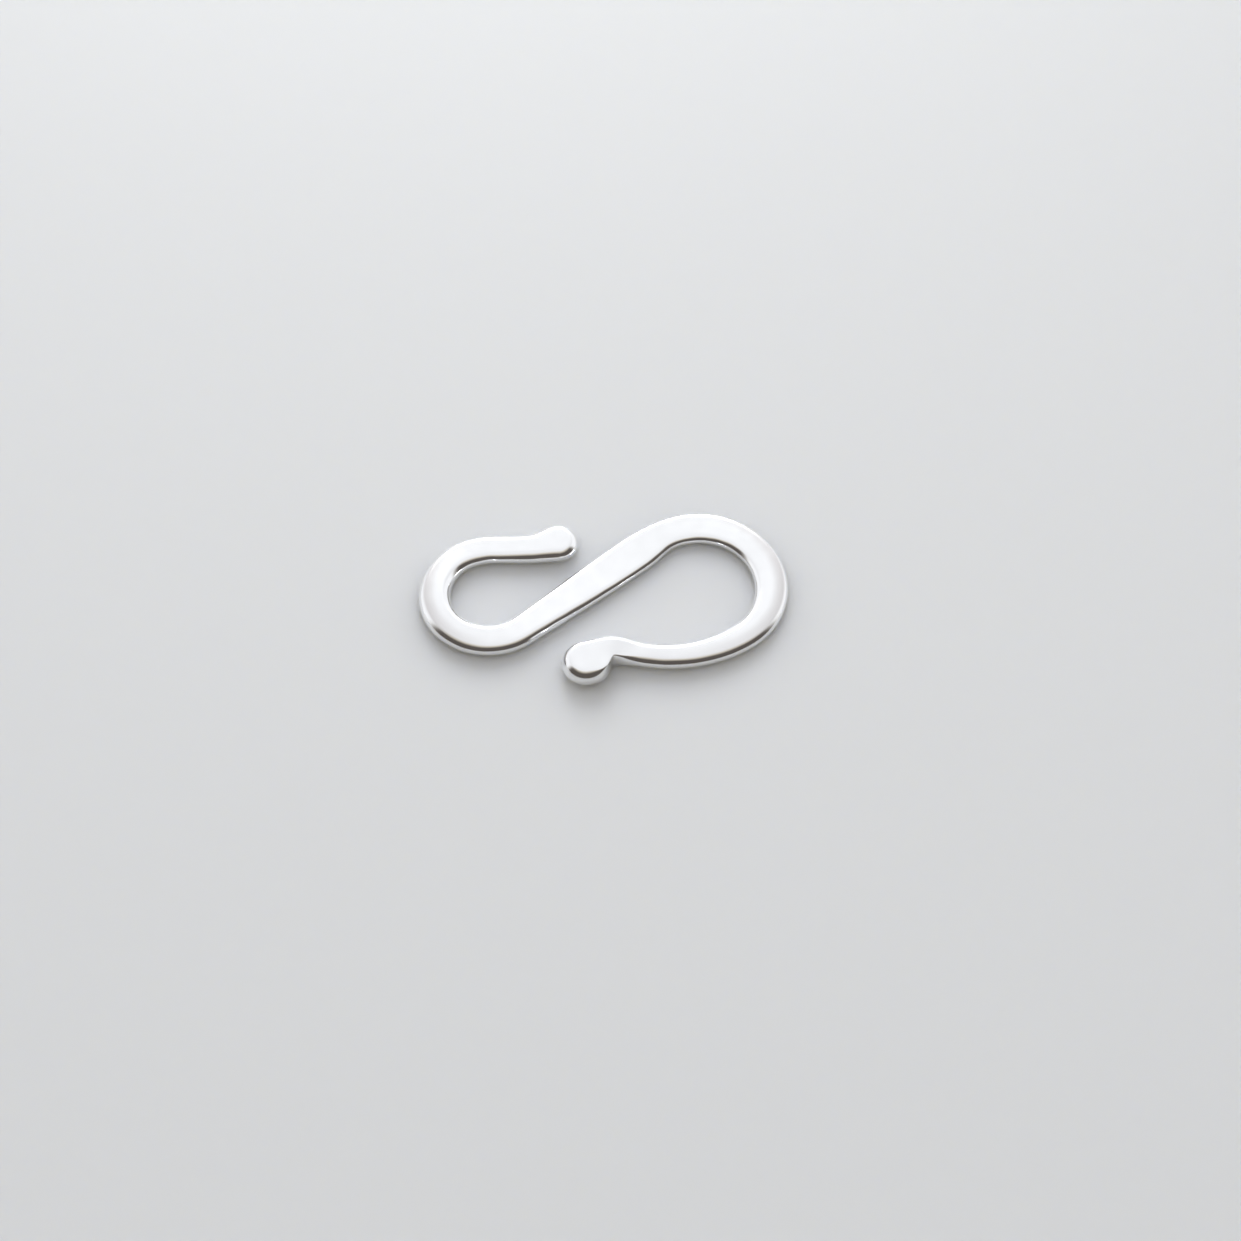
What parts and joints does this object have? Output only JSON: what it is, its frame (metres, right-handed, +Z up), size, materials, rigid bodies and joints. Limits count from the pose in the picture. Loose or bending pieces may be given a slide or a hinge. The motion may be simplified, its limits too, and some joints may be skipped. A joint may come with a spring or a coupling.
{
  "type": "s hook clasp",
  "caption": "Flat hammered silver wire S hook clasp, with a small hook, a larger hook and a flattened ball at each open tip.",
  "frame": {"origin": "centre of the outline's box, on the flat underside", "axes": "+X from the small hook to the large hook, +Y towards the small hook's open tip, +Z up out of the flat"},
  "size_m": [0.0166, 0.0089, 0.0009],
  "materials": {
    "silver": "satin hammered face with brightly polished rounded edges"
  },
  "bodies": {
    "root": {"s_hook": "silver"}
  },
  "joints": []
}
